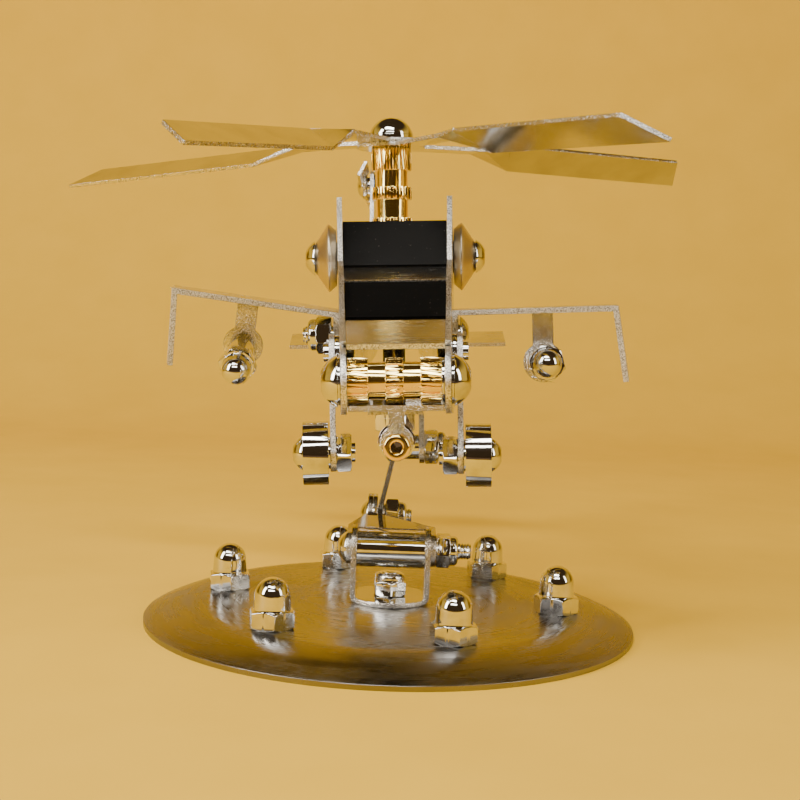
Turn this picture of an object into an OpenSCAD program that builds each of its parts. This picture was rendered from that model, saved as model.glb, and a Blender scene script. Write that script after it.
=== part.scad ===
// Desk model of a gunship helicopter, screwed together from sheet metal, brass sleeves and fasteners.
// +X is the helicopter's left-to-right width seen from the nose, +Y points to the tail, +Z is up.

/* [Sheet metal] */
// Thickness of all bent sheet pieces
sheet_t = 0.9; // [0.7:0.1:1.0]
// Radial clearance of every turning joint
run_gap = 0.05; // [0.03:0.01:0.08]

/* [Base] */
// Outer diameter of the base disc
disc_d = 87.5; // [84:0.5:92]
// Height of the disc's flat middle above the table
disc_h = 3.9; // [3.6:0.1:4.2]
// Radius of the ring of acorn nuts
nut_ring_r = 30; // [28:0.5:31]
// Angle of the first acorn nut
nut_phase = -9.5; // [-30:0.5:30]

/* [Stand] */
// Height of the tilt bolt above the table
tilt_z = 13.2; // [12.8:0.1:14]
// Length of the tube between the bracket's ears
tube_l = 12.2; // [11:0.1:14]
// Diameter of that tube
tube_d = 6.8; // [6:0.1:7]
// Upward slope of the stand arm
arm_rise = 14; // [10:1:16]
// Distance from the tilt bolt to the arm's lug hole
arm_l = 14.9; // [14.5:0.1:16]

/* [Helicopter attitude] */
// Height of the belly bracket's flange above the table
belly_z = 37.9; // [36.5:0.1:40]
// Sideways lean of the helicopter
lean = 2.9; // [0:0.1:4]

/* [Fuselage] */
// Half width between the side plates' middles at their widest
half_w = 10.07; // [9.5:0.01:11]
// Outward splay of the plates from nose to mast
splay = 2.83; // [2:0.01:3.5]
// Inward taper of the plates from mast to tail
taper = 3.66; // [3:0.01:4]
// Distance from the mast to the plates' bend
bend_y = 5.5; // [3:0.5:6]

/* [Rotor] */
// Tip radius of the main rotor
rotor_r = 67.3; // [60:0.1:68]
// Chord of a blade
blade_c = 6.8; // [6:0.1:8]
// Thickness of a rotor plate
rotor_t = 0.7; // [0.6:0.1:0.8]
// Directions of the two blades on the lower plate, then of the two on the upper plate
blade_dirs = [30.1, -57.7, 156.6, 243.8];
// Downward slopes of the same blades
blade_droops = [2.2, 3.2, 2.9, 4];
// Pitches of the same blades, leading edge up
blade_pitches = [34.3, 28.9, 27.2, 28.7];

/* [Wings] */
// Distance from the fuselage's middle to a wing's bend
wing_span = 35.3; // [34:0.1:38]
// Upward slope of the left and the right wing
wing_slope = [9.3, 1];
// Nose-down tilt of the left and the right wing about the wing bolt
wing_tilt = [2.2, 0.3];
// Outward slope of the left and the right wing's bent tip
tip_splay = [5.4, 8];
// Length of a wing's bent-down tip
winglet_l = 12.2; // [11:0.1:14]
// Nose-down tilt of the left and the right pod
pod_tilt = [16, -2];

/* [Hidden] */
$fn = 64;

steel = [0.78, 0.77, 0.74];
dark_steel = [0.45, 0.42, 0.38];
brass = [0.86, 0.68, 0.30];
black = [0.03, 0.03, 0.035];

// Middle of the whole model's footprint, measured from the disc's middle
footprint_mid = [-5.45, 14.02];

// Metric fasteners: shank radius, head diameter and height, nut width across flats and height
m3_r = 1.5;
m4_r = 2;
m3_head = [5.7, 1.65];
m4_head = [7.8, 3.2];
m3_af = 5.5;
m4_af = 7;
m3_nut_h = 2.4;
m3_lock_h = 4;
m4_nut_h = 3.2;
bore_r = m3_r + run_gap;
seat_gap = 0.05;

// Stand
bracket_z = disc_h + seat_gap;
ear_in = tube_l / 2 + seat_gap;
ear_out = ear_in + sheet_t;
arm_ear_in = ear_out + seat_gap;
arm_ear_out = arm_ear_in + sheet_t;
ear_r = 4.1;
web_z = 1.3;
lug_x = -4.65;
lug_r = 4.1;
arm_washer_t = [0.9, 0.5];
strut_bend_z = [18.5, 29.3];

// Belly pivot, in the helicopter's own axes
pivot_y = 3;
pivot_z = -6.6;
strut_x = -1.15;
bracket_leg_x = 4.05;

// World place of the strut's upper hole and of the arm's lug hole
strut_mid_x = strut_x + sheet_t / 2;
strut_top = [strut_mid_x * cos(lean) - pivot_z * sin(lean),
             belly_z + strut_mid_x * sin(lean) + pivot_z * cos(lean)];
lug_y = arm_l * cos(arm_rise);
lug_world_z = tilt_z + arm_l * sin(arm_rise);
strut_foot_x = lug_x + sheet_t + arm_washer_t[0] + seat_gap;
arm_nut_x = strut_foot_x + sheet_t + seat_gap + arm_washer_t[1];

// Cross plates as [front y, front z, rear y, rear z, tab length], middle line of the sheet
deck_line = [-37.4, 13.3, -28.4, 16.8, 3];
low_screen_line = [-28, 17.3, -21, 22.8, 3];
cockpit_line = [-20.6, 23.1, -12.6, 25.3, 3];
high_screen_line = [-12.2, 25.8, -7.2, 33.4, 3];
roof_line = [-6.5, 32.25, 9, 32.25, 5];
belly_line = [-6, 1.35, 16, 1.35, 8];
gun_line = [-40.2, 4.18, -12, 4.18, 8];
cross_lines = [deck_line, low_screen_line, cockpit_line, high_screen_line, roof_line, belly_line, gun_line];
slot_gap = 0.04;

// Middle of the fuselage and the mast, both to the side of the belly bracket's middle
body_x = 0.2;
mast_x = -0.25;

// Nose, mast and gun; a sleeve's lengths are its bands and grooves by turns
nose_y = -37;
nose_z = 8.15;
sleeve_d = 7;
nose_sleeve_x = [-7.32, 6.83];
nose_bands = [3.1, 2.65, 2.65, 2.65, 3.1];
mast_top_z = 46.6;
mast_bands = [1.8, 3.2, 2.2, 2.9, 3.8];
mast_sleeve_l = 13.9;
gun_y = -40.2;
gun_z = -0.9;
strap_w = 2.4;

// Wings
wing_bolt_y = -14;
wing_bolt_z = 14.45;
wing_root_z = 3.5;
wing_front = -4.6;
wing_chord = 13.5;
pod_x = 15.1;
pod_y = 2.7;
pod_drop = [8.2, 8.9];
pod_tube_l = 7.5;
tip_yaw = 7;

// Engines, landing gear and tail
engine_y = 2;
engine_z = 27.65;
leg_y = -25.5;
leg_z = 12;
axle_y = -30;
axle_z = [-3.55, -4.2];
wheel_w = 4;
wheel_r = 5;
leg_gap = 0.8;
stab_y = 75;
stab_z = 10.3;
stab_span = 49.8;
stab_chord = 9;
stab_tilt = 15;
boom_screw_y = 62;
boom_screw_z = 12.5;
tail_rotor_y = 80.5;
tail_rotor_z = 46.3;
tail_rotor_r = 9;

// ---------- shapes used by many sub-parts ----------

// Half width from the centre to the middle of a side plate at a distance y from the mast
function hw(y) = y < bend_y ? half_w - (bend_y - y) * tan(splay) : half_w - (y - bend_y) * tan(taper);

// Moves what it holds into the helicopter's place and lean
module on_helicopter() {
    translate([0, 0, belly_z]) rotate([0, -lean, 0]) children();
}

// The fuselage's own axes
module on_body() {
    on_helicopter() translate([body_x, 0, 0]) children();
}

// The mast's own axes
module on_mast() {
    on_helicopter() translate([mast_x, 0, 0]) children();
}

// Puts +X along the outward normal of a side plate's outer face; side is -1 for left, 1 for right
module on_side(side, y, z) {
    mirror([side < 0 ? 1 : 0, 0, 0])
        translate([hw(y) + sheet_t / 2, y, z])
            rotate([0, 0, y < bend_y ? -splay : taper]) children();
}

// Turns the Z axis to +X
module along_x() {
    rotate([0, 90, 0]) children();
}

// Extrudes an outline drawn in the YZ plane along X, centred
module side_extrude(w) {
    rotate([90, 0, 90]) linear_extrude(w, center = true) children();
}

// Domed screw head standing on z = 0
module dome(d, h) {
    r = (d * d / 4 + h * h) / (2 * h);
    intersection() {
        translate([0, 0, h - r]) sphere(r = r);
        cylinder(d = d, h = h);
    }
}

// Bare shank from z = 0 down, with thread grooves on its last turns
module shank(r, l, turns = 0) {
    pitch = 0.5;
    depth = 0.22;
    body = l - turns * pitch;
    translate([0, 0, -body]) cylinder(r = r, h = body);
    if (turns > 0)
        rotate_extrude()
            polygon(concat([[0, -body]], [for (i = [0 : turns - 1], k = [0, 1])
                [r - k * depth, -body - (i + k / 2) * pitch]], [[r - depth, -l], [0, -l]]));
}

// Button head screw; the head's seat is at z = 0 and the shank points down
module button_screw(r, head, l, turns = 0) {
    socket_af = head[0] * 0.36;
    difference() {
        dome(head[0], head[1]);
        translate([0, 0, head[1] * 0.45]) cylinder(d = socket_af / cos(30), h = head[1], $fn = 6);
    }
    shank(r, l, turns);
}

// Chamfered hexagonal body on z = 0
module hex_body(af, h, top_chamfer = true) {
    e = af / cos(30);
    c = (e - af) / 2 * 0.6;
    intersection() {
        cylinder(d = e, h = h, $fn = 6);
        rotate_extrude()
            polygon([[0, 0], [af / 2, 0], [e / 2, c], [e / 2, top_chamfer ? h - c : h],
                     [top_chamfer ? af / 2 : e / 2, h], [0, h]]);
    }
}

// Plain nut on z = 0
module plain_nut(af, h, r) {
    difference() {
        hex_body(af, h);
        translate([0, 0, -1]) cylinder(r = r, h = h + 2);
    }
}

// Self-locking nut on z = 0: a hexagon with a round collar
module lock_nut(af, h, r) {
    hex_h = h * 0.64;
    collar_r = af * 0.485;
    round_r = h * 0.2;
    difference() {
        union() {
            hex_body(af, hex_h);
            cylinder(r = collar_r, h = h - round_r);
            cylinder(r = collar_r - round_r, h = h);
            translate([0, 0, h - round_r]) rotate_extrude()
                translate([collar_r - round_r, 0]) intersection() {
                    circle(r = round_r);
                    square(round_r);
                }
        }
        translate([0, 0, -1]) cylinder(r = r, h = h + 2);
    }
}

// Acorn nut on z = 0: a hexagon, a short barrel and a dome, drilled from below
module acorn_nut(af, h, r) {
    hex_h = h * 0.36;
    barrel_r = af * 0.44;
    crown_r = af * 0.42;
    dome_z = h - crown_r;
    difference() {
        union() {
            hex_body(af, hex_h);
            rotate_extrude() polygon([[0, hex_h - 0.1], [barrel_r, hex_h - 0.1],
                                      [barrel_r, hex_h + 0.5], [crown_r, dome_z], [0, dome_z]]);
            intersection() {
                translate([0, 0, dome_z]) sphere(r = crown_r);
                translate([0, 0, dome_z - 0.1]) cylinder(r = crown_r, h = crown_r + 1);
            }
        }
        translate([0, 0, -1]) cylinder(r = r, h = h * 0.7 + 1);
    }
}

// Outline of a strip with round ends between two points
module strip(a, b, r) {
    d = b - a;
    l = norm(d);
    n = [-d[1], d[0]] / l * r;
    translate(a) circle(r = r);
    translate(b) circle(r = r);
    polygon([a + n, b + n, b - n, a - n]);
}

function sum_to(v, n) = n < 1 ? 0 : v[n - 1] + sum_to(v, n - 1);

// Straight-knurled brass sleeve on z = 0: three toothed bands with grooves between them
module brass_sleeve(bore, bands) {
    teeth = 20;
    root_r = sleeve_d / 2 - 0.35;
    groove_r = sleeve_d / 2 - 0.65;
    l = sum_to(bands, 5);
    difference() {
        union() {
            cylinder(r = groove_r, h = l);
            for (i = [0, 2, 4]) translate([0, 0, sum_to(bands, i)]) linear_extrude(bands[i])
                polygon([for (i = [0 : teeth - 1], k = [[-0.32, 0], [-0.2, 1], [0.2, 1], [0.32, 0]])
                    let (a = (i + k[0]) * 360 / teeth, r = k[1] == 1 ? sleeve_d / 2 : root_r)
                    [r * cos(a), r * sin(a)]]);
        }
        translate([0, 0, -1]) cylinder(r = bore, h = l + 2);
    }
}

// ---------- stand ----------

module on_nut_ring() {
    for (i = [0 : 5]) rotate([0, 0, nut_phase + i * 60]) translate([nut_ring_r, 0, 0]) children();
}

module base_disc() {
    rim_r = disc_d / 2;
    flat_r = nut_ring_r + 3.9;
    rim_h = 0.9;
    steps = 12;
    // The flange curves down from the flat middle to the rim
    function drop(u) = (disc_h - rim_h) * (0.35 * u + 0.65 * u * u);
    top = [for (i = [0 : steps]) [flat_r + (rim_r - flat_r) * i / steps, disc_h - drop(i / steps)]];
    under = [for (i = [steps : -1 : 0]) [top[i][0] - (i == steps ? 0.85 : 0),
                                         i == steps ? 0 : max(top[i][1] - sheet_t, 0.1)]];
    color(steel) difference() {
        rotate_extrude($fn = 128)
            polygon(concat([[0, disc_h]], top, [[rim_r, 0]], under, [[0, disc_h - sheet_t]]));
        on_nut_ring() cylinder(r = m4_r, h = disc_h + 1);
        cylinder(r = m3_r, h = disc_h + 1);
    }
}

module base_screws() {
    color(steel) on_nut_ring() translate([0, 0, disc_h - sheet_t]) mirror([0, 0, 1])
        button_screw(m4_r, [7.5, 2], 6.5);
}

module acorn_nuts() {
    color(steel) on_nut_ring() translate([0, 0, disc_h]) rotate([0, 0, -nut_phase + 41])
        acorn_nut(m4_af, 8.3, m4_r);
}

module swivel_screw() {
    color(steel) translate([0, 0, disc_h - sheet_t]) mirror([0, 0, 1])
        button_screw(m3_r, m3_head, 6, 0);
}

module swivel_lock_nut() {
    color(steel) translate([0, 0, bracket_z + sheet_t + seat_gap]) rotate([0, 0, 35])
        lock_nut(m3_af, m3_lock_h, m3_r);
}

// Outline of the U bracket seen from the front, with rounded bends
module u_profile(outer, h, bend) {
    union() {
        translate([-outer, bend]) square([2 * outer, h]);
        translate([-outer + bend, 0]) square([2 * (outer - bend), h]);
        for (s = [-1, 1]) translate([s * (outer - bend), bend]) circle(r = bend);
    }
}

module stand_bracket() {
    wall = ear_out - ear_in;
    axis_z = tilt_z - bracket_z;
    height = axis_z + ear_r + 1;
    floor_r = 7.4;
    ear_foot = 4.6;
    color(steel) translate([0, 0, bracket_z]) difference() {
        intersection() {
            rotate([90, 0, 0]) linear_extrude(20, center = true) difference() {
                u_profile(ear_out, height, 1.6);
                translate([0, wall]) u_profile(ear_in, height, 0.7);
            }
            union() {
                side_extrude(2 * ear_out + 1) {
                    translate([0, axis_z]) circle(r = ear_r);
                    polygon([[-ear_foot, 0], [ear_foot, 0], [ear_r, axis_z], [-ear_r, axis_z]]);
                }
                cylinder(r = floor_r, h = wall + 0.1);
            }
        }
        translate([0, 0, axis_z]) along_x() cylinder(r = m3_r, h = 30, center = true);
        translate([0, 0, -1]) cylinder(r = bore_r, h = 3);
    }
}

module tilt_tube() {
    color(steel) translate([0, 0, tilt_z]) along_x() difference() {
        cylinder(d = tube_d, h = tube_l, center = true);
        cylinder(r = m3_r, h = tube_l + 1, center = true);
    }
}

module tilt_bolt() {
    color(steel) translate([-arm_ear_out - seat_gap, 0, tilt_z]) rotate([0, -90, 0])
        button_screw(m3_r, m3_head, 2 * arm_ear_out + m3_lock_h + 2.4, 4);
}

module tilt_lock_nut() {
    color(steel) translate([arm_ear_out + seat_gap, 0, tilt_z]) along_x() rotate([0, 0, 37])
        lock_nut(m3_af, m3_lock_h, m3_r);
}

module on_arm() {
    translate([0, 0, tilt_z]) rotate([arm_rise, 0, 0]) children();
}

// Puts +X along the arm bolt
module on_lug() {
    translate([0, lug_y, lug_world_z]) children();
}

module stand_arm() {
    ear_r2 = 3;
    front = 4.1;
    shoulder = 5.2;
    web_end = 11;
    color(dark_steel) difference() {
        on_arm() {
            translate([0, 0, web_z]) linear_extrude(sheet_t)
                polygon([[-arm_ear_out, front], [arm_ear_out, front], [arm_ear_out, shoulder],
                         [lug_x + sheet_t + 0.3, web_end], [lug_x, web_end], [-arm_ear_out, shoulder]]);
            for (s = [-1, 1]) translate([s * (arm_ear_in + sheet_t / 2), 0, 0])
                side_extrude(sheet_t) {
                    circle(r = ear_r2);
                    polygon([[0, ear_r2], [0, -ear_r2], [shoulder, web_z - 1], [shoulder, web_z + sheet_t]]);
                }
            translate([lug_x + sheet_t / 2, 0, 0]) side_extrude(sheet_t) {
                translate([arm_l, 0]) circle(r = lug_r);
                polygon([[web_end - 2.5, web_z + sheet_t], [arm_l - 2, web_z + sheet_t], [arm_l, 0],
                         [arm_l - 2.6, -2.8], [web_end - 2.5, web_z]]);
            }
        }
        translate([0, 0, tilt_z]) along_x() cylinder(r = bore_r, h = 30, center = true);
        on_lug() along_x() cylinder(r = m3_r, h = 12, center = true);
    }
}

module arm_bolt() {
    color(steel) on_lug() translate([lug_x, 0, 0]) rotate([0, -90, 0])
        button_screw(m3_r, m3_head, arm_nut_x - lug_x + m3_lock_h + 1, 2);
}

// A wide washer beside the lug and a thin one under the nut, with the strut between them
module arm_washers() {
    color(steel) on_lug() {
        translate([lug_x + sheet_t, 0, 0]) washer(m3_r, 2 * lug_r, arm_washer_t[0]);
        translate([arm_nut_x - arm_washer_t[1], 0, 0]) washer(m3_r, 4.6, arm_washer_t[1]);
    }
}

module arm_lock_nut() {
    color(steel) on_lug() translate([arm_nut_x, 0, 0]) along_x()
        lock_nut(m3_af, m3_lock_h, m3_r);
}

// Strip that is bent twice, so that both of its eyes stand square to their bolts
module strut() {
    half = sheet_t / 2;
    end_r = 2.5;
    bar_r = 2.2;
    over = 5;
    foot_x = strut_foot_x + half;
    head = [strut_top[0] - over * sin(lean), strut_top[1] + over * cos(lean)];
    high_n = [cos(lean), sin(lean)] * half;
    bend = [strut_top[0] + (strut_top[1] - strut_bend_z[1]) * tan(lean), strut_bend_z[1]];
    color(dark_steel) difference() {
        intersection() {
            rotate([90, 0, 0]) linear_extrude(60, center = true)
                polygon([[foot_x - half, 5], [foot_x + half, 5], [foot_x + half, strut_bend_z[0]],
                         bend + [half, 0], head + high_n, head - high_n, bend - [half, 0],
                         [foot_x - half, strut_bend_z[0]]]);
            side_extrude(40) {
                strip([lug_y, lug_world_z], [pivot_y, strut_top[1]], bar_r);
                translate([lug_y, lug_world_z]) circle(r = end_r);
                translate([pivot_y, strut_top[1]]) circle(r = end_r);
            }
        }
        on_lug() along_x() cylinder(r = bore_r, h = 8, center = true);
        on_helicopter() translate([strut_mid_x, pivot_y, pivot_z]) along_x()
            cylinder(r = bore_r, h = 6, center = true);
    }
}

// ---------- fuselage ----------

// Plan outline of everything between two offsets from the side plates' middles
module plan_band(inner, outer) {
    ys = [-60, bend_y, 110];
    polygon(concat([for (y = ys) [hw(y) + outer, y]],
                   [for (i = [2 : -1 : 0]) [hw(ys[i]) + inner, ys[i]]]));
}

module plan_between(offset_x) {
    ys = [-60, bend_y, 110];
    polygon(concat([for (y = ys) [hw(y) + offset_x, y]],
                   [for (i = [2 : -1 : 0]) [-hw(ys[i]) - offset_x, ys[i]]]));
}

// Strip of sheet along one cross line, shortened to its middle length if one is given
module line_section(line, grow, l = 0) {
    d = [line[2] - line[0], line[3] - line[1]];
    full = norm(d);
    use_l = l > 0 ? l : full;
    translate([(line[0] + line[2]) / 2, (line[1] + line[3]) / 2]) rotate(atan2(d[1], d[0]))
        square([use_l + 2 * grow, sheet_t + 2 * grow], center = true);
}

// Sheet between the side plates with one tab through each of them
module cross_plate(line) {
    intersection() {
        side_extrude(40) line_section(line, 0);
        translate([0, 0, -5]) linear_extrude(60) plan_between(-sheet_t / 2 - slot_gap);
    }
    intersection() {
        side_extrude(40) line_section(line, 0, line[4]);
        translate([0, 0, -5]) linear_extrude(60) plan_between(sheet_t / 2);
    }
}

// Outline of a side plate in the YZ plane; the left one carries the fin
module side_outline(with_fin) {
    nose_r = 5.1;
    translate([nose_y, nose_z]) circle(r = nose_r);
    polygon([[nose_y, nose_z + nose_r], [-38.6, 14.2], [-28.9, 18], [-21.3, 24.2], [-13.1, 26.8], [-8, 34.4],
             [-5.3, 34.4], [-4.9, 38], [-1.4, 38], [-0.6, 34.4], [10, 34], [16, 29], [24, 20.5],
             [70, 17.6], [83, 17.2], [84.4, 14.5], [82.5, 8], [76, 6.8], [38, 4], [16, 0.5], [-9, 0.5],
             [nose_y, nose_z - nose_r]]);
    if (with_fin)
        polygon([[70, 17.6], [76.6, 44], [77.4, 49], [79.5, 50.3], [84, 50.3], [85.2, 49], [84.6, 40],
                 [84.2, 17.2], [84.4, 14.5], [80, 10]]);
}

module side_holes(side) {
    on_side(side, nose_y, nose_z) along_x() cylinder(r = m4_r, h = 6, center = true);
    on_side(side, engine_y, engine_z) along_x() cylinder(r = m3_r, h = 6, center = true);
    on_side(side, leg_y, leg_z) along_x() cylinder(r = m3_r, h = 6, center = true);
    on_side(side, boom_screw_y, boom_screw_z) along_x() cylinder(r = m3_r + 0.2, h = 6, center = true);
    on_side(side, wing_bolt_y, wing_bolt_z) along_x() cylinder(r = m3_r + 0.2, h = 6, center = true);
    for (line = cross_lines) side_extrude(60) line_section(line, slot_gap, line[4]);
    stabilizer_blank(slot_gap);
}

module side_plate(side) {
    difference() {
        intersection() {
            mirror([side < 0 ? 1 : 0, 0, 0]) translate([0, 0, -5]) linear_extrude(60)
                plan_band(-sheet_t / 2, sheet_t / 2);
            side_extrude(60) side_outline(side < 0);
        }
        side_holes(side);
        if (side < 0) on_side(side, tail_rotor_y, tail_rotor_z) along_x()
            cylinder(r = m3_r, h = 6, center = true);
    }
}

module side_plate_left() {
    color(steel) on_body() side_plate(-1);
}

module side_plate_right() {
    color(steel) on_body() side_plate(1);
}

module belly_plate() {
    color(dark_steel) on_body() difference() {
        cross_plate(belly_line);
        translate([mast_x - body_x, 0, 0]) cylinder(r = m4_r, h = 20, center = true);
    }
}

module roof_plate() {
    color(steel) on_body() difference() {
        cross_plate(roof_line);
        translate([mast_x - body_x, 0, 30]) cylinder(r = m4_r, h = 10);
    }
}

module nose_deck() {
    color(steel) on_body() cross_plate(deck_line);
}

module cockpit_roof() {
    color(steel) on_body() cross_plate(cockpit_line);
}

module windscreen_lower() {
    color(black) on_body() cross_plate(low_screen_line);
}

module windscreen_upper() {
    color(black) on_body() cross_plate(high_screen_line);
}

module nose_sleeve() {
    color(brass) on_body() translate([nose_sleeve_x[0], nose_y, nose_z]) along_x()
        brass_sleeve(m4_r + 0.3, nose_bands);
}

module nose_screws() {
    head = [8, 2.8];
    color(steel) on_body() for (s = [-1, 1]) on_side(s, nose_y, nose_z)
        translate([0.45, 0, 0]) along_x() button_screw(m4_r, head, 6);
}

module gun_bracket() {
    drop = gun_line[1] - gun_z;
    eye_r = 2.55;
    color(dark_steel) on_body() difference() {
        union() {
            cross_plate(gun_line);
            translate([0, gun_y + sheet_t / 2, 0]) rotate([90, 0, 0]) linear_extrude(sheet_t, center = true) {
                translate([0, gun_z]) circle(r = eye_r);
                translate([-strap_w / 2, gun_z]) square([strap_w, drop + sheet_t / 2]);
            }
        }
        translate([0, gun_y, gun_z]) rotate([90, 0, 0]) cylinder(r = m3_r, h = 6, center = true);
    }
}

module gun_barrel() {
    barrel_r = 2;
    l = 7.5;
    lip = 0.5;
    color(brass) on_body() translate([0, gun_y, gun_z]) rotate([90, 0, 0]) difference() {
        union() {
            cylinder(r = barrel_r, h = l - lip);
            cylinder(r = barrel_r - lip, h = l);
            translate([0, 0, l - lip]) rotate_extrude() translate([barrel_r - lip, 0]) intersection() {
                circle(r = lip);
                square(lip);
            }
        }
        translate([0, 0, -1]) cylinder(r = m3_r, h = 4.4);
        cylinder(r = 0.87, h = l + 1);
    }
}

module gun_screw() {
    color(steel) on_body() translate([0, gun_y + sheet_t, gun_z]) rotate([-90, 0, 0])
        button_screw(m3_r, m3_head, sheet_t + 3.2);
}

module belly_bracket() {
    leg_r = 3;
    bend = 1.3;
    mid_x = bracket_leg_x + sheet_t;
    flange_y = [-4.5, 6];
    color(steel) on_helicopter() difference() {
        intersection() {
            rotate([90, 0, 0]) linear_extrude(20, center = true) difference() {
                union() {
                    translate([-5, -12]) square([5 + mid_x, 12 + sheet_t - bend]);
                    translate([-5, -12]) square([5 + mid_x - bend, 12 + sheet_t]);
                    translate([mid_x - bend, sheet_t - bend]) circle(r = bend);
                }
                translate([-6, -13]) square([6 + bracket_leg_x, 13]);
            }
            union() {
                side_extrude(40) {
                    translate([pivot_y, pivot_z]) circle(r = leg_r);
                    polygon([[pivot_y - leg_r, pivot_z], [pivot_y + leg_r, pivot_z], [flange_y[1], 0],
                             [flange_y[1], sheet_t], [flange_y[0], sheet_t], [flange_y[0], 0]]);
                }
                translate([-5, flange_y[0], 0]) cube([5, flange_y[1] - flange_y[0], sheet_t]);
            }
        }
        translate([mast_x, 0, 0]) cylinder(r = m4_r, h = 6, center = true);
        translate([0, pivot_y, pivot_z]) along_x() cylinder(r = m3_r, h = 30, center = true);
    }
}

module belly_bolt() {
    color(steel) on_helicopter() translate([strut_x - seat_gap, pivot_y, pivot_z]) rotate([0, -90, 0])
        button_screw(m3_r, [5.5, 1.65], bracket_leg_x + sheet_t - strut_x + m3_lock_h + 1, 1);
}

module belly_spacer() {
    from_x = strut_x + sheet_t + seat_gap;
    color(steel) on_helicopter() translate([from_x, pivot_y, pivot_z]) along_x() difference() {
        cylinder(d = 4.5, h = bracket_leg_x - from_x);
        translate([0, 0, -1]) cylinder(r = m3_r, h = 6);
    }
}

module fuselage_lock_nuts() {
    color(steel) on_helicopter() {
        translate([bracket_leg_x + sheet_t, pivot_y, pivot_z]) along_x() rotate([0, 0, 39])
            lock_nut(m3_af, m3_lock_h, m3_r);
        translate([body_x - wing_seat_x, wing_bolt_y, wing_bolt_z]) rotate([0, -90, 0]) rotate([0, 0, 7])
            lock_nut(m3_af, m3_lock_h, m3_r);
    }
}

// ---------- mast and rotor ----------

washer_z = mast_top_z + seat_gap + 2 * rotor_t + seat_gap;
washer_t = 0.85;

module mast_screw() {
    seat = washer_z + washer_t;
    color(steel) on_mast() translate([0, 0, seat])
        button_screw(m4_r, m4_head, seat + m4_nut_h);
}

module mast_sleeve() {
    color(brass) on_mast() translate([0, 0, mast_top_z - mast_sleeve_l])
        brass_sleeve(m4_r + 0.05, mast_bands);
}

module mast_nut() {
    color(steel) on_mast() translate([0, 0, -m4_nut_h]) rotate([0, 0, 30])
        plain_nut(m4_af, m4_nut_h, m4_r);
}

module rotor_washer() {
    color(steel) on_mast() translate([0, 0, washer_z]) difference() {
        cylinder(d = 7.8, h = washer_t);
        translate([0, 0, -1]) cylinder(r = m4_r, h = 3);
    }
}

// Blade along +X: flat arm, twisted shoulder and pitched blade with a slanted tip
module blade(droop, pitch) {
    arm_end = 18.5;
    roots = [23.4, 26.6];
    arm_w = 5;
    cut = 3.8;
    thin = 0.05;
    half = blade_c / 2;
    translate([4, -arm_w / 2, 0]) cube([arm_end - 4, arm_w, rotor_t]);
    rotate([0, droop, 0]) translate([0, 0, rotor_t / 2]) {
        hull() {
            translate([arm_end - 0.3, -arm_w / 2, arm_end * sin(droop) - rotor_t / 2])
                cube([thin, arm_w, rotor_t]);
            rotate([-pitch, 0, 0]) translate([0, 0, -rotor_t / 2 + 0.01]) linear_extrude(rotor_t - 0.02)
                polygon([[roots[0], 0.01 - half], [roots[0] + thin, 0.01 - half],
                         [roots[1] + thin, half - 0.01], [roots[1], half - 0.01]]);
        }
        rotate([-pitch, 0, 0]) translate([0, 0, -rotor_t / 2]) linear_extrude(rotor_t)
            polygon([[roots[0] - 0.02, -half], [rotor_r - cut, -half], [rotor_r - 0.6, half - 1],
                     [rotor_r, half], [roots[1] - 0.02, half]]);
    }
}

// Rotor plate with a round hub and the two blades whose numbers it gets
module rotor_plate(blades, z) {
    hub_r = 6;
    on_mast() translate([0, 0, z]) difference() {
        union() {
            cylinder(r = hub_r, h = rotor_t);
            for (i = blades) rotate([0, 0, blade_dirs[i]]) blade(blade_droops[i], blade_pitches[i]);
        }
        translate([0, 0, -1]) cylinder(r = m4_r + run_gap, h = 3);
    }
}

module rotor_blades_right() {
    color(steel) rotor_plate([0, 1], mast_top_z + seat_gap);
}

module rotor_blades_left() {
    color(steel) rotor_plate([2, 3], mast_top_z + seat_gap + rotor_t);
}

// ---------- engines ----------

cowl_seat_x = 4;

// Cup washers: a cone outside and a rolled rim towards the side plate
module engine_cowls() {
    inner_x = m3_nut_h + seat_gap;
    rim_x = 1.6;
    rim_r = 6;
    end_r = 2.45;
    color(steel) on_body() for (s = [-1, 1]) on_side(s, engine_y, engine_z) along_x()
        rotate_extrude()
            polygon([[m3_r, cowl_seat_x], [end_r, cowl_seat_x], [rim_r, rim_x], [rim_r - 0.05, rim_x - 0.25],
                     [4.9, 0.15], [4.3, 0.15], [5.1, rim_x - 0.1], [3.4, inner_x], [m3_r, inner_x]]);
}

module engine_screws() {
    color(steel) on_body() for (s = [-1, 1]) on_side(s, engine_y, engine_z)
        translate([cowl_seat_x, 0, 0]) along_x()
            button_screw(m3_r, [6.1, 1.9], cowl_seat_x + sheet_t + m3_nut_h + 0.5);
}

// All plain M3 nuts: outside and inside the engine screws, on the axles and on the tail screws
module plain_nuts() {
    color(steel) on_body() for (s = [-1, 1]) {
        on_side(s, engine_y, engine_z) {
            along_x() plain_nut(m3_af, m3_nut_h, m3_r);
            translate([-sheet_t - m3_nut_h, 0, 0]) along_x() plain_nut(m3_af, m3_nut_h, m3_r);
        }
        on_leg(s) translate([-m3_nut_h, 0, 0]) along_x() rotate([0, 0, 33])
            plain_nut(m3_af, m3_nut_h, m3_r);
    }
    color(steel) on_body() {
        on_side(-1, tail_rotor_y, tail_rotor_z) translate([-sheet_t - m3_nut_h, 0, 0]) along_x()
            plain_nut(m3_af, m3_nut_h, m3_r);
        translate([-boom_seat_x, boom_screw_y, boom_screw_z]) along_x()
            plain_nut(m3_af, m3_nut_h, m3_r);
    }
}

// ---------- wings and pods ----------

wing_seat_x = hw(wing_bolt_y) + sheet_t / 2 + sheet_t + 0.3;
root_gap = 0.03;

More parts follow.
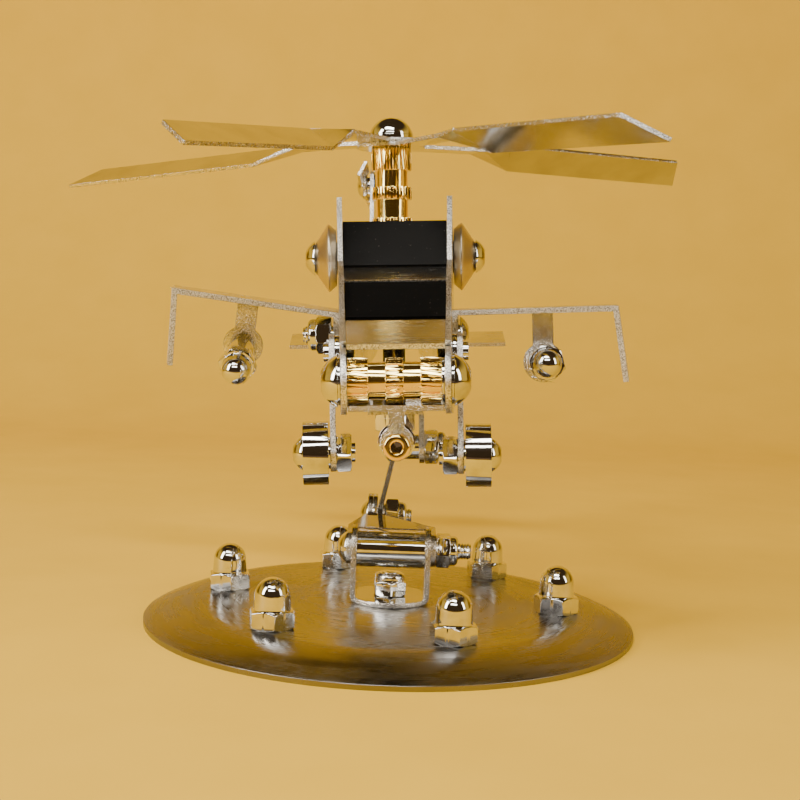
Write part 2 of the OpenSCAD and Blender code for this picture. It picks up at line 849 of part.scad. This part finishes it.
// Wing axes: origin on the plate's outer face at the wing bolt, +X outwards
module on_wing(side) {
    i = side < 0 ? 0 : 1;
    on_side(side, wing_bolt_y, wing_bolt_z) rotate([wing_tilt[i], 0, 0]) children();
}

// Height of a wing's middle face at a distance from the root
function wing_z(i, x) = wing_root_z + x * tan(wing_slope[i]);

// Root flange and panel seen from the front, up to a given distance from the root
module wing_profile(i, reach) {
    t = sheet_t / 2;
    polygon([[root_gap, -3.4], [root_gap, wing_root_z + t], [reach, wing_z(i, reach) + t],
             [reach, wing_z(i, reach) - t], [root_gap + 2 * t, wing_z(i, root_gap + 2 * t) - t],
             [root_gap + 2 * t, -3.4]]);
}

// The bent-down tip stands on a bend line that runs outwards to the rear
module wing(side) {
    i = side < 0 ? 0 : 1;
    rear = wing_front + wing_chord;
    tip_chord = wing_chord - 3;
    tip_x = wing_span - hw(wing_bolt_y) - sheet_t / 2;
    grow = tip_chord * tan(tip_yaw);
    color(steel) on_body() on_wing(side) difference() {
        union() {
            intersection() {
                rotate([90, 0, 0]) linear_extrude(60, center = true) wing_profile(i, 40);
                union() {
                    side_extrude(2.2) {
                        circle(r = 3.2);
                        polygon([[-3.2, 0], [3.2, 0], [rear, 2], [rear, 9], [wing_front, 9], [wing_front, 2]]);
                    }
                    translate([0.9, 0, -15]) linear_extrude(40)
                        polygon([[0, wing_front], [tip_x, wing_front], [tip_x + grow, wing_front + tip_chord],
                                 [0, rear]]);
                }
            }
            translate([tip_x + 0.9, wing_front, wing_z(i, tip_x + 0.9)])
                rotate([0, 0, -tip_yaw]) winglet(tip_splay[i], tip_chord);
        }
        along_x() cylinder(r = m3_r + 0.2, h = 6, center = true);
        pod_hanger_blank(side, slot_gap);
    }
}

// Bent-down tip below a bend line along +Y, rounded at the bend
module winglet(splay_out, chord) {
    l = chord / cos(tip_yaw) - 0.1;
    rotate([-90, 0, 0]) cylinder(d = sheet_t, h = l, $fn = 24);
    rotate([0, -splay_out, 0]) translate([-sheet_t / 2, 0, -winglet_l]) cube([sheet_t, l, winglet_l]);
}

module wing_left() {
    wing(-1);
}

module wing_right() {
    wing(1);
}

module wing_bolt() {
    color(steel) on_body() translate([wing_seat_x, wing_bolt_y, wing_bolt_z]) along_x()
        button_screw(m3_r, m3_head, 2 * wing_seat_x + m3_lock_h + 0.8, 1);
}

// Hanger axes: origin in the wing's middle face above the pod, -Z down the strap
module on_hanger(side) {
    i = side < 0 ? 0 : 1;
    on_wing(side) translate([pod_x, pod_y, wing_z(i, pod_x)]) rotate([0, -wing_slope[i], 0]) children();
}

hanger_bend = 1.6;

// Pod axes: origin in the middle of the hanger's eye, -Y forwards
module on_pod(side) {
    i = side < 0 ? 0 : 1;
    on_hanger(side) translate([0, 0, -hanger_bend]) rotate([pod_tilt[i], 0, 0])
        translate([0, 0, hanger_bend - pod_drop[i]]) children();
}

// Tab through the wing at the hanger's top end
module pod_hanger_blank(side, grow) {
    i = side < 0 ? 0 : 1;
    translate([pod_x, pod_y, wing_z(i, pod_x)]) rotate([0, -wing_slope[i], 0])
        cube([2 + 2 * grow, sheet_t + 2 * grow, 4], center = true);
}

// Strap that is bent below the wing, with a round eye at its lower end
module pod_hangers() {
    strap = 3.5;
    eye_r = 3.4;
    top = -sheet_t / 2 - slot_gap;
    color(dark_steel) on_body() for (s = [-1, 1]) {
        i = s < 0 ? 0 : 1;
        difference() {
            union() {
                on_hanger(s) {
                    translate([-1, -sheet_t / 2, -hanger_bend]) cube([2, sheet_t, hanger_bend + sheet_t / 2]);
                    translate([-strap / 2, -sheet_t / 2, -hanger_bend])
                        cube([strap, sheet_t, hanger_bend + top]);
                    translate([0, 0, -hanger_bend]) along_x()
                        cylinder(d = sheet_t, h = strap, center = true, $fn = 24);
                }
                on_pod(s) rotate([90, 0, 0]) linear_extrude(sheet_t, center = true) {
                    circle(r = eye_r);
                    translate([-strap / 2, 0]) square([strap, pod_drop[i] - hanger_bend]);
                }
            }
            on_pod(s) rotate([90, 0, 0]) cylinder(r = m3_r, h = 6, center = true);
        }
    }
}

module pod_tubes() {
    color(dark_steel) on_body() for (s = [-1, 1]) on_pod(s)
        translate([0, -sheet_t / 2, 0]) rotate([90, 0, 0]) difference() {
            cylinder(d = 4.8, h = pod_tube_l);
            translate([0, 0, -1]) cylinder(r = m3_r, h = pod_tube_l + 2);
        }
}

module pod_screws() {
    color(steel) on_body() for (s = [-1, 1]) on_pod(s)
        translate([0, sheet_t / 2, 0]) rotate([-90, 0, 0])
            button_screw(m3_r, m3_head, sheet_t + pod_tube_l + 3.5);
}

module pod_acorn_nuts() {
    color(steel) on_body() for (s = [-1, 1]) on_pod(s)
        translate([0, -sheet_t / 2 - pod_tube_l, 0]) rotate([90, 0, 0]) rotate([0, 0, s < 0 ? 4 : 43])
            acorn_nut(m3_af, 6.3, m3_r);
}

// ---------- landing gear ----------

leg_out_x = leg_gap + sheet_t;

// Axle axes: origin on the leg's inner face, +X outwards
module on_leg(side) {
    i = side < 0 ? 0 : 1;
    on_side(side, leg_y, leg_z) translate([leg_gap, axle_y - leg_y, axle_z[i] - leg_z]) children();
}

module gear_legs() {
    color(steel) on_body() for (s = [-1, 1]) on_side(s, leg_y, leg_z)
        translate([leg_gap + sheet_t / 2, 0, 0]) difference() {
            axle = [axle_y - leg_y, axle_z[s < 0 ? 0 : 1] - leg_z];
            side_extrude(sheet_t) strip([0, 0], axle, 2.95);
            along_x() cylinder(r = m3_r, h = 6, center = true);
            translate([0, axle[0], axle[1]]) along_x() cylinder(r = m3_r, h = 6, center = true);
        }
}

// Screws from inside the fuselage; their ends show outside the legs
module gear_screws() {
    color(steel) on_body() for (s = [-1, 1]) on_side(s, leg_y, leg_z)
        translate([-sheet_t, 0, 0]) rotate([0, -90, 0])
            button_screw(m3_r, m3_head, sheet_t + leg_out_x + 0.9);
}

// Spacing washers at the nose screws, at the legs and behind the tail rotor
module side_washers() {
    color(steel) on_body() {
        for (s = [-1, 1]) {
            on_side(s, nose_y, nose_z) washer(m4_r, 7.4, 0.45);
            on_side(s, leg_y, leg_z) washer(m3_r, 5.6, leg_gap);
        }
        on_side(1, nose_y, nose_z) translate([-sheet_t - 0.5, 0, 0]) washer(m4_r, 6.8, 0.46);
        on_side(-1, tail_rotor_y, tail_rotor_z) washer(m3_r, 4.6, 0.9);
    }
}

module washer(r, d, t) {
    along_x() difference() {
        cylinder(d = d, h = t);
        translate([0, 0, -1]) cylinder(r = r, h = t + 2);
    }
}

race_r = [2.55, 3.95];
race_lip = 0.3;

module axle_screws() {
    color(steel) on_body() for (s = [-1, 1]) on_leg(s)
        translate([sheet_t + race_lip + wheel_w, 0, 0]) along_x()
            button_screw(m3_r, [5.4, 1.8], sheet_t + race_lip + wheel_w + m3_nut_h + 0.6);
}

module bearing_inner_races() {
    color(steel) on_body() for (s = [-1, 1]) on_leg(s) translate([sheet_t, 0, 0]) along_x() difference() {
        cylinder(r = race_r[0], h = race_lip + wheel_w);
        translate([0, 0, -1]) cylinder(r = m3_r, h = wheel_w + 3);
    }
}

// Outer race with its two shields, turned about the axle
module wheel(side) {
    shield_t = 0.25;
    shield_in = 0.3;
    color(steel) on_body() on_leg(side) translate([sheet_t + race_lip, 0, 0]) along_x() union() {
        difference() {
            cylinder(r = wheel_r, h = wheel_w);
            translate([0, 0, -1]) cylinder(r = race_r[1], h = wheel_w + 2);
        }
        for (z = [shield_in, wheel_w - shield_in - shield_t]) translate([0, 0, z]) difference() {
            cylinder(r = race_r[1] + 0.2, h = shield_t);
            translate([0, 0, -1]) cylinder(r = race_r[0] + 0.1, h = 3);
        }
    }
}

module wheel_left() {
    wheel(-1);
}

module wheel_right() {
    wheel(1);
}

module bearing_balls(side) {
    count = 7;
    ball_r = (race_r[1] - race_r[0]) / 2 - run_gap;
    color(steel) on_body() on_leg(side) translate([sheet_t + race_lip + wheel_w / 2, 0, 0]) along_x()
        for (i = [0 : count - 1]) rotate([0, 0, i * 360 / count])
            translate([(race_r[0] + race_r[1]) / 2, 0, 0]) sphere(r = ball_r);
}

module bearing_balls_left() {
    bearing_balls(-1);
}

module bearing_balls_right() {
    bearing_balls(1);
}

// ---------- tail ----------

boom_seat_x = hw(boom_screw_y) - sheet_t / 2 - 0.25;

module stabilizer_blank(grow) {
    translate([0, stab_y, stab_z]) rotate([stab_tilt, 0, 0])
        cube([stab_span, stab_chord + 2 * grow, sheet_t + 2 * grow], center = true);
}

module stabilizer() {
    color(steel) on_body() stabilizer_blank(0);
}

module tail_spacer() {
    l = 2 * boom_seat_x - m3_nut_h;
    color(steel) on_body() translate([-boom_seat_x + m3_nut_h, boom_screw_y, boom_screw_z]) along_x()
        difference() {
            cylinder(d = 5, h = l);
            translate([0, 0, -1]) cylinder(r = m3_r, h = l + 2);
        }
}

module tail_screws() {
    color(steel) on_body() {
        translate([hw(boom_screw_y) + sheet_t / 2 + 0.2, boom_screw_y, boom_screw_z]) along_x()
            button_screw(m3_r, m3_head, 2 * hw(boom_screw_y) + sheet_t + 0.6);
        on_side(-1, tail_rotor_y, tail_rotor_z) translate([1.75, 0, 0]) along_x()
            button_screw(m3_r, m3_head, 1.75 + sheet_t + m3_nut_h + 0.3);
    }
}

// Two-bladed tail rotor on the outer side of the fin
module tail_rotor() {
    hub_r = 2.9;
    arm_w = 2.6;
    chord = 4;
    pitch = 25;
    start = 4;
    hub_t = 0.7;
    color(steel) on_body() on_side(-1, tail_rotor_y, tail_rotor_z) translate([0.95, 0, 0]) along_x()
        difference() {
            union() {
                cylinder(r = hub_r, h = hub_t);
                for (a = [66, 246]) rotate([0, 0, a]) {
                    translate([0, -arm_w / 2, 0]) cube([start + 0.3, arm_w, hub_t]);
                    translate([start, 0, hub_t / 2]) rotate([pitch, 0, 0])
                        translate([0, -chord / 2, -hub_t / 2]) cube([tail_rotor_r - start, chord, hub_t]);
                }
            }
            translate([0, 0, -1]) cylinder(r = bore_r, h = 3);
        }
}

module placed() {
    translate([-footprint_mid[0], -footprint_mid[1], 0]) children();
}

placed() base_disc();
placed() base_screws();
placed() acorn_nuts();
placed() swivel_screw();
placed() swivel_lock_nut();
placed() stand_bracket();
placed() tilt_tube();
placed() tilt_bolt();
placed() tilt_lock_nut();
placed() stand_arm();
placed() arm_bolt();
placed() arm_washers();
placed() arm_lock_nut();
placed() strut();
placed() side_plate_left();
placed() side_plate_right();
placed() belly_plate();
placed() roof_plate();
placed() nose_deck();
placed() cockpit_roof();
placed() windscreen_lower();
placed() windscreen_upper();
placed() nose_sleeve();
placed() nose_screws();
placed() gun_bracket();
placed() gun_barrel();
placed() gun_screw();
placed() belly_bracket();
placed() belly_bolt();
placed() belly_spacer();
placed() fuselage_lock_nuts();
placed() mast_screw();
placed() mast_sleeve();
placed() mast_nut();
placed() rotor_washer();
placed() engine_cowls();
placed() engine_screws();
placed() plain_nuts();
placed() wing_left();
placed() wing_right();
placed() wing_bolt();
placed() pod_hangers();
placed() pod_tubes();
placed() pod_screws();
placed() pod_acorn_nuts();
placed() gear_legs();
placed() gear_screws();
placed() side_washers();
placed() axle_screws();
placed() bearing_inner_races();
placed() wheel_left();
placed() wheel_right();
placed() bearing_balls_left();
placed() bearing_balls_right();
placed() rotor_blades_left();
placed() rotor_blades_right();
placed() stabilizer();
placed() tail_spacer();
placed() tail_screws();
placed() tail_rotor();
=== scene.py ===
import math

import bpy
from mathutils import Matrix, Vector


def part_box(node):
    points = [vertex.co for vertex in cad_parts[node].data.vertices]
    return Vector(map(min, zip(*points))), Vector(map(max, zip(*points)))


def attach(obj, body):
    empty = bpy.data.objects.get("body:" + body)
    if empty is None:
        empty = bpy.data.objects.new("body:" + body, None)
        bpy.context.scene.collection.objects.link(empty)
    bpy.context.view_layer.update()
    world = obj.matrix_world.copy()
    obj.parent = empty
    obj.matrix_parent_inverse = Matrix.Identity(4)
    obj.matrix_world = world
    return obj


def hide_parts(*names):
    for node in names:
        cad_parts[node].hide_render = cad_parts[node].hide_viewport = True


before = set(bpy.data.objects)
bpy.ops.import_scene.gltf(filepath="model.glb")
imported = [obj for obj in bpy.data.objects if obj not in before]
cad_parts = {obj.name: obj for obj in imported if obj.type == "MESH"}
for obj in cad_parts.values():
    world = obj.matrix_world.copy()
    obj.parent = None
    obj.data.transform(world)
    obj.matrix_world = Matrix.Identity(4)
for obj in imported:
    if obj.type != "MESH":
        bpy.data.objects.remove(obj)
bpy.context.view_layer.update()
MM = 0.001

# ---------------------------------------------------------------- camera

disc_low, disc_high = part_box("base_disc")
CENTRE = (disc_low + disc_high) / 2
CENTRE.z = disc_low.z

LENS_MM = 60.75
SENSOR_MM = 36
CAMERA_PLACE_MM = (0, -240.8, 59.4)  # from the middle of the disc's underside
PITCH, ROLL, YAW = (math.radians(a) for a in (4.57, 2.16, 0.14))

look = Vector((math.sin(YAW) * math.cos(PITCH), math.cos(YAW) * math.cos(PITCH),
               -math.sin(PITCH)))
flat_right = Vector((math.cos(YAW), -math.sin(YAW), 0))
flat_up = flat_right.cross(look)
right = math.cos(ROLL) * flat_right + math.sin(ROLL) * flat_up
up = -math.sin(ROLL) * flat_right + math.cos(ROLL) * flat_up

camera_data = bpy.data.cameras.new("camera")
camera_data.lens = LENS_MM
camera_data.sensor_width = SENSOR_MM
camera_data.clip_start = 0.01
camera = bpy.data.objects.new("camera", camera_data)
bpy.context.scene.collection.objects.link(camera)
turn = Matrix((right, up, -look)).transposed().to_4x4()
camera.matrix_world = Matrix.Translation(CENTRE + Vector(CAMERA_PLACE_MM) * MM) @ turn
bpy.context.scene.camera = camera

# ---------------------------------------------------------------- material tools


class Nodes:
    """A material's node tree with short calls for adding and linking nodes."""

    def __init__(self, name):
        self.mat = bpy.data.materials.new(name)
        self.mat.use_nodes = True
        self.tree = self.mat.node_tree
        self.shader = self.tree.nodes["Principled BSDF"]

    def add(self, kind, inputs=None, **settings):
        node = self.tree.nodes.new(kind)
        for key, value in settings.items():
            setattr(node, key, value)
        for key, value in (inputs or {}).items():
            if isinstance(value, bpy.types.NodeSocket):
                self.tree.links.new(value, node.inputs[key])
            else:
                node.inputs[key].default_value = value
        return node

    def math(self, operation, a, b=0.0):
        return self.add("ShaderNodeMath", {0: a, 1: b}, operation=operation).outputs[0]

    def blend(self, a, b, share):
        """a and b added, with b's share of the sum given from 0 to 1."""
        kept = self.math("MULTIPLY", a, 1 - share)
        return self.math("ADD", kept, self.math("MULTIPLY", b, share))

    def coords(self, kind="Object"):
        return self.add("ShaderNodeTexCoord").outputs[kind]

    def scaled(self, vector, scale, location=(0, 0, 0)):
        inputs = {"Vector": vector, "Scale": scale, "Location": location}
        return self.add("ShaderNodeMapping", inputs).outputs[0]

    def noise(self, vector, scale, detail=3.0, rough=0.55):
        inputs = {"Vector": vector, "Scale": scale, "Detail": detail, "Roughness": rough}
        return self.add("ShaderNodeTexNoise", inputs).outputs["Fac"]

    def remap(self, value, low, high, to_low, to_high):
        inputs = {0: value, 1: low, 2: high, 3: to_low, 4: to_high}
        return self.add("ShaderNodeMapRange", inputs).outputs[0]

    def mix(self, factor, a, b):
        node = self.add("ShaderNodeMix", data_type="RGBA")
        for socket, value in ((node.inputs[0], factor), (node.inputs[6], a), (node.inputs[7], b)):
            if isinstance(value, bpy.types.NodeSocket):
                self.tree.links.new(value, socket)
            else:
                socket.default_value = value if isinstance(value, float) else (*value, 1)
        return node.outputs[2]

    def bump(self, height, distance, strength, normal=None):
        inputs = {"Height": height, "Distance": distance, "Strength": strength}
        if normal is not None:
            inputs["Normal"] = normal
        return self.add("ShaderNodeBump", inputs).outputs[0]

    def finish(self, color=None, rough=None, normal=None, **fixed):
        for key, value in (("Base Color", color), ("Roughness", rough), ("Normal", normal)):
            if isinstance(value, bpy.types.NodeSocket):
                self.tree.links.new(value, self.shader.inputs[key])
            elif value is not None:
                plain = value if key == "Roughness" else (*value, 1)
                self.shader.inputs[key].default_value = plain
        for key, value in fixed.items():
            self.shader.inputs[key.replace("_", " ")].default_value = value
        return self.mat


def bright_metal(name, color, dark, rough, dent_mm):
    """Polished metal with faint dents, fine scratches and darker, duller stains."""
    n = Nodes(name)
    at = n.coords()
    stains = n.noise(at, 260, 4)
    scratches = n.noise(n.scaled(at, (1, 0.25, 1)), 5200, 3, 0.7)
    dents = n.noise(at, 420, 2)
    level = n.blend(stains, scratches, 0.3)
    rough_value = n.remap(level, 0.35, 0.65, *rough)
    tint = n.mix(n.remap(stains, 0.45, 0.7, 0.0, 1.0), color, dark)
    normal = n.bump(dents, dent_mm * MM, 0.35, n.bump(scratches, 0.002 * MM, 0.25))
    return n.finish(tint, rough_value, normal, Metallic=1.0)


# Near-white speck colour on the cut edges: painted glints over the edge's grain
CUT_EDGE_GLINT = (0.98, 0.97, 0.94)


def sheet_metal(name, color, grain, across, rough=(0.16, 0.3)):
    """Sheet with brushed faces and granular laser-cut edges, whose near-white specks are partly the
    edge's real grain and partly painted glints.

    grain scales the brushing along X, Y and Z, and across is the axis that the faces look along.
    """
    n = Nodes(name)
    at = n.coords()
    brushed = n.noise(n.scaled(at, grain), 1.0, 4, 0.6)
    clouds = n.noise(at, 120, 3)
    grains = n.noise(at, 5200, 2, 0.8)
    facing = n.add("ShaderNodeVectorMath", {0: n.coords("Normal"), 1: across},
                   operation="DOT_PRODUCT")
    flat = n.math("ABSOLUTE", facing.outputs["Value"])
    cut = n.remap(flat, 0.55, 0.75, 1.0, 0.0)
    worn = n.mix(n.remap(clouds, 0.4, 0.7, 0.0, 1.0), color, tuple(c * 0.82 for c in color))
    # Cut-edge specks run from dark to near-white; the near-white ones are partly painted glints
    dark_specks = tuple(c * 0.25 for c in CUT_EDGE_GLINT)
    specks = n.mix(n.remap(grains, 0.42, 0.54, 0.0, 1.0), dark_specks, CUT_EDGE_GLINT)
    tint = n.mix(cut, worn, specks)
    face_rough = n.remap(n.blend(brushed, clouds, 0.5), 0.35, 0.65, *rough)
    rough_value = n.math("ADD", face_rough, n.math("MULTIPLY", cut, 0.12))
    cut_grains = n.math("MULTIPLY", n.math("MULTIPLY", grains, cut), 12.0)
    height = n.math("ADD", n.math("MULTIPLY", brushed, 0.15), cut_grains)
    normal = n.bump(height, 0.012 * MM, 0.6)
    return n.finish(tint, rough_value, normal, Metallic=1.0)


def turned_disc(name, color):
    """Circular brushing round the disc's axis, with stretched highlights."""
    n = Nodes(name)
    at = n.scaled(n.coords(), (1, 1, 1), tuple(-c for c in CENTRE))
    parts = n.add("ShaderNodeSeparateXYZ", {0: at}).outputs
    radius = n.math("SQRT", n.math("ADD", n.math("MULTIPLY", parts[0], parts[0]),
                                   n.math("MULTIPLY", parts[1], parts[1])))
    angle = n.math("ARCTAN2", parts[1], parts[0])
    polar = n.add("ShaderNodeCombineXYZ", {0: n.math("MULTIPLY", radius, 9000.0),
                                           1: n.math("MULTIPLY", angle, 3.0), 2: 0.0}).outputs[0]
    rings = n.noise(polar, 1.0, 4, 0.65)
    broad = n.noise(n.scaled(polar, (0.06, 1, 1)), 1.0, 3)
    smudges = n.noise(at, 70, 4)
    level = n.blend(rings, broad, 0.6)
    tint = n.mix(n.remap(level, 0.35, 0.65, 0.0, 1.0), tuple(c * 0.8 for c in color), color)
    worn = n.math("ADD", level, n.math("MULTIPLY", smudges, 0.5))
    rough_value = n.remap(worn, 0.6, 0.95, 0.2, 0.36)
    normal = n.bump(rings, 0.006 * MM, 0.5)
    tangent = n.add("ShaderNodeTangent", direction_type="RADIAL", axis="Z").outputs[0]
    n.tree.links.new(tangent, n.shader.inputs["Tangent"])
    return n.finish(tint, rough_value, normal, Metallic=1.0, Anisotropic=0.7)


def black_screen(name):
    """Black glossy panel with dust specks and fine wipes."""
    n = Nodes(name)
    at = n.coords()
    specks = n.noise(at, 2600, 2, 0.5)
    wipes = n.noise(n.scaled(at, (0.3, 1, 1)), 900, 3)
    dust = n.remap(specks, 0.72, 0.78, 0.0, 0.3)
    tint = n.mix(dust, (0.004, 0.004, 0.004), (0.35, 0.32, 0.26))
    wiped = n.remap(wipes, 0.3, 0.7, 0.3, 0.4)
    rough_value = n.math("ADD", wiped, n.math("MULTIPLY", dust, 0.5))
    normal = n.bump(specks, 0.004 * MM, 0.25)
    return n.finish(tint, rough_value, normal, Specular_IOR_Level=0.05)


STEEL = (0.66, 0.68, 0.70)
FACES_X, FACES_Z = (1, 0, 0), (0, 0, 1)
bright = bright_metal("polished_steel", (0.70, 0.71, 0.72), (0.54, 0.54, 0.53), (0.03, 0.09), 0.008)
satin = bright_metal("satin_steel", (0.60, 0.54, 0.43), (0.50, 0.44, 0.34), (0.28, 0.38), 0.006)
mirror = sheet_metal("mirror_sheet", (0.48, 0.48, 0.47), (200, 3000, 200), FACES_Z, (0.05, 0.1))
brass = bright_metal("polished_brass", (1.0, 0.80, 0.30), (0.90, 0.66, 0.20), (0.08, 0.16), 0.006)
black = black_screen("black_screens")
disc = turned_disc("turned_steel", (0.29, 0.285, 0.28))
plate = sheet_metal("side_sheet", STEEL, (400, 60, 6000), FACES_X)
cross = sheet_metal("cross_sheet", STEEL, (60, 6000, 400), FACES_Z)
blades = sheet_metal("blade_sheet", (0.60, 0.61, 0.61), (1500, 1500, 1500), FACES_Z, (0.10, 0.2))

# ---------------------------------------------------------------- CAD nodes

LOOKS = {
    "base_disc": disc,
    "side_plate_left": plate, "side_plate_right": plate, "gear_legs": plate,
    "belly_plate": cross, "roof_plate": cross, "nose_deck": cross, "cockpit_roof": cross,
    "belly_bracket": cross, "stabilizer": cross, "wing_left": cross, "wing_right": cross,
    "stand_bracket": mirror, "stand_arm": mirror, "strut": mirror,
    "gun_bracket": mirror, "pod_hangers": mirror,
    "nose_sleeve": brass, "gun_barrel": brass, "mast_sleeve": brass,
    "windscreen_lower": black, "windscreen_upper": black,
    "engine_cowls": satin, "rotor_blades_left": blades, "rotor_blades_right": blades,
    "tail_rotor": blades,
}
SHARP = math.radians(28)
EDGE_ROUND_MM = 0.06
WELD_M = 1e-6


def soften(obj, width):
    """Smooth shading with a small rounded edge wherever two faces meet sharply."""
    mesh = obj.data
    mesh.polygons.foreach_set("use_smooth", [True] * len(mesh.polygons))
    weld = obj.modifiers.new("weld", "WELD")
    weld.merge_threshold = WELD_M
    bevel = obj.modifiers.new("bevel", "BEVEL")
    bevel.width = width
    bevel.segments = 2
    bevel.limit_method = "ANGLE"
    bevel.angle_limit = SHARP
    bevel.use_clamp_overlap = False
    flat = obj.modifiers.new("flat", "WEIGHTED_NORMAL")
    flat.mode = "FACE_AREA"
    flat.weight = 80


for name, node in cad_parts.items():
    node.data.materials.clear()
    node.data.materials.append(LOOKS.get(name, bright))
    soften(node, EDGE_ROUND_MM * MM)

# ---------------------------------------------------------------- refined pieces


def new_object(name, verts, faces, material):
    """A smooth-shaded mesh object in the scene."""
    mesh = bpy.data.meshes.new(name)
    mesh.from_pydata(verts, [], faces)
    mesh.materials.append(material)
    mesh.polygons.foreach_set("use_smooth", [True] * len(faces))
    obj = bpy.data.objects.new(name, mesh)
    bpy.context.scene.collection.objects.link(obj)
    return obj


LATHE_SIDES = 64
LATHE_SHARP = math.radians(40)


def lathe(name, profile, centre, material):
    """A closed ring of profile points (radius, distance forwards) turned round the Y axis."""
    verts, faces, count = [], [], len(profile)
    for k in range(LATHE_SIDES):
        a = 2 * math.pi * k / LATHE_SIDES
        verts += [centre + Vector((r * math.cos(a), -d, r * math.sin(a))) * MM for r, d in profile]
        for m in range(count):
            here, there = k * count, (k + 1) % LATHE_SIDES * count
            following = (m + 1) % count
            faces.append((here + m, there + m, there + following, here + following))
    piece = new_object(name, verts, faces, material)
    piece.data.set_sharp_from_angle(angle=LATHE_SHARP)
    return piece


def arc(radius, distance, r, start, stop, steps):
    """Points on an arc about (radius, distance); degrees go from outwards to forwards."""
    turns = [math.radians(start + (stop - start) * k / steps) for k in range(steps + 1)]
    return [(radius + r * math.cos(t), distance + r * math.sin(t)) for t in turns]


# The gun barrel, with a round muzzle lip and a stepped bore
gun_low, gun_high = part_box("gun_barrel")
gun_r = (gun_high.x - gun_low.x) / 2 / MM
gun_l = (gun_high.y - gun_low.y) / MM
LIP = 0.5
INNER_LIP = 0.2
CHAMFER = 0.1
SCREW_BORE = (1.5, 3.4)
MUZZLE_BORE_R = 0.87
gun_profile = [(SCREW_BORE[0], 0), (gun_r - CHAMFER, 0), (gun_r, CHAMFER)]
gun_profile += arc(gun_r - LIP, gun_l - LIP, LIP, 0, 90, 6)
gun_profile += arc(MUZZLE_BORE_R + INNER_LIP, gun_l - INNER_LIP, INNER_LIP, 90, 180, 4)
gun_profile += [(MUZZLE_BORE_R, SCREW_BORE[1]), SCREW_BORE]
gun_rear = Vector(((gun_low.x + gun_high.x) / 2, gun_high.y, (gun_low.z + gun_high.z) / 2))
muzzle = lathe("gun_muzzle", gun_profile, gun_rear, brass)
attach(muzzle, "fuselage")
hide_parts("gun_barrel")

# ---------------------------------------------------------------- floor and light


def paper(name, light, dark):
    """Matte paper with a faint mottle."""
    n = Nodes(name)
    mottle = n.remap(n.noise(n.coords(), 40, 3), 0.3, 0.7, 0.0, 1.0)
    return n.finish(n.mix(mottle, dark, light), 0.85, Specular_IOR_Level=0.1)


# One sheet of paper lies flat, then curves up behind the model; distances are in metres
SHEET_FRONT = -0.23
SHEET_WALL = 0.50
SHEET_BEND = 0.22
SHEET_TOP = 0.62
SHEET_HALF = 2.5
BEND_STEPS = 24
rows = [(SHEET_FRONT, 0.0), (SHEET_WALL - SHEET_BEND, 0.0)]
for k in range(1, BEND_STEPS + 1):
    turn_up = math.radians(90 * k / BEND_STEPS)
    rows.append((SHEET_WALL - SHEET_BEND * (1 - math.sin(turn_up)),
                 SHEET_BEND * (1 - math.cos(turn_up))))
rows.append((SHEET_WALL, SHEET_TOP))
sheet_verts = [CENTRE + Vector((x, y, z)) for y, z in rows for x in (-SHEET_HALF, SHEET_HALF)]
sheet_faces = [(2 * k, 2 * k + 1, 2 * k + 3, 2 * k + 2) for k in range(len(rows) - 1)]
golden = paper("golden_paper", (0.90, 0.56, 0.045), (0.86, 0.53, 0.04))
new_object("paper_sweep", sheet_verts, sheet_faces, golden)

# A brown table just under the paper
TABLE = 3.0
TABLE_DROP = 0.001
table_verts = [CENTRE + Vector((x, y, -TABLE_DROP)) for x, y in
               ((-TABLE, -TABLE), (TABLE, -TABLE), (TABLE, TABLE), (-TABLE, TABLE))]
brown = paper("brown_table", (0.10, 0.06, 0.03), (0.08, 0.045, 0.02))
new_object("table", table_verts, [(0, 1, 2, 3)], brown)

LIGHT_COLOR = (1, 0.94, 0.84)
LIT_POINT = Vector((0, 0, 0.05))


def area_light(name, place, size, radiance):
    """A soft rectangular light that faces the model."""
    data = bpy.data.lights.new(name, "AREA")
    data.shape = "RECTANGLE"
    data.size, data.size_y = size
    data.energy = radiance * math.pi * size[0] * size[1]
    data.color = LIGHT_COLOR
    light = bpy.data.objects.new(name, data)
    light.location = CENTRE + Vector(place)
    light.rotation_euler = (LIT_POINT - Vector(place)).to_track_quat("-Z", "Y").to_euler()
    bpy.context.scene.collection.objects.link(light)


area_light("left_box", (-0.58, -0.34, 0.36), (0.15, 0.55), 20)
area_light("right_box", (0.60, -0.34, 0.32), (0.12, 0.5), 9)
area_light("front_strip", (-0.08, -0.64, 0.50), (0.5, 0.09), 16)
area_light("high_strip", (-0.1, -0.34, 0.62), (0.42, 0.12), 20)

# The room is dark brown in front and overhead, and golden at the sides and behind
ROOM_DARK = (0.055, 0.032, 0.014, 1)
ROOM_GOLD = (0.80, 0.48, 0.06, 1)
Y_RANGE = (-0.6, -0.25, 0.0, 1.0)  # golden from the second direction on
Z_RANGE = (0.5, 0.75, 1.0, 0.0)  # dark from the second direction up
world = bpy.data.worlds.new("world")
bpy.context.scene.world = world
world.use_nodes = True
tree = world.node_tree
direction = tree.nodes.new("ShaderNodeTexCoord").outputs["Generated"]
split = tree.nodes.new("ShaderNodeSeparateXYZ")
tree.links.new(direction, split.inputs[0])
factors = []
for socket, span in ((1, Y_RANGE), (2, Z_RANGE)):
    ranged = tree.nodes.new("ShaderNodeMapRange")
    tree.links.new(split.outputs[socket], ranged.inputs[0])
    for index, value in enumerate(span, 1):
        ranged.inputs[index].default_value = value
    factors.append(ranged.outputs[0])
both = tree.nodes.new("ShaderNodeMath")
both.operation = "MULTIPLY"
room = tree.nodes.new("ShaderNodeMix")
room.data_type = "RGBA"
room.inputs[6].default_value = ROOM_DARK
room.inputs[7].default_value = ROOM_GOLD
tree.links.new(factors[0], both.inputs[0])
tree.links.new(factors[1], both.inputs[1])
tree.links.new(both.outputs[0], room.inputs[0])
tree.links.new(room.outputs[2], tree.nodes["Background"].inputs[0])
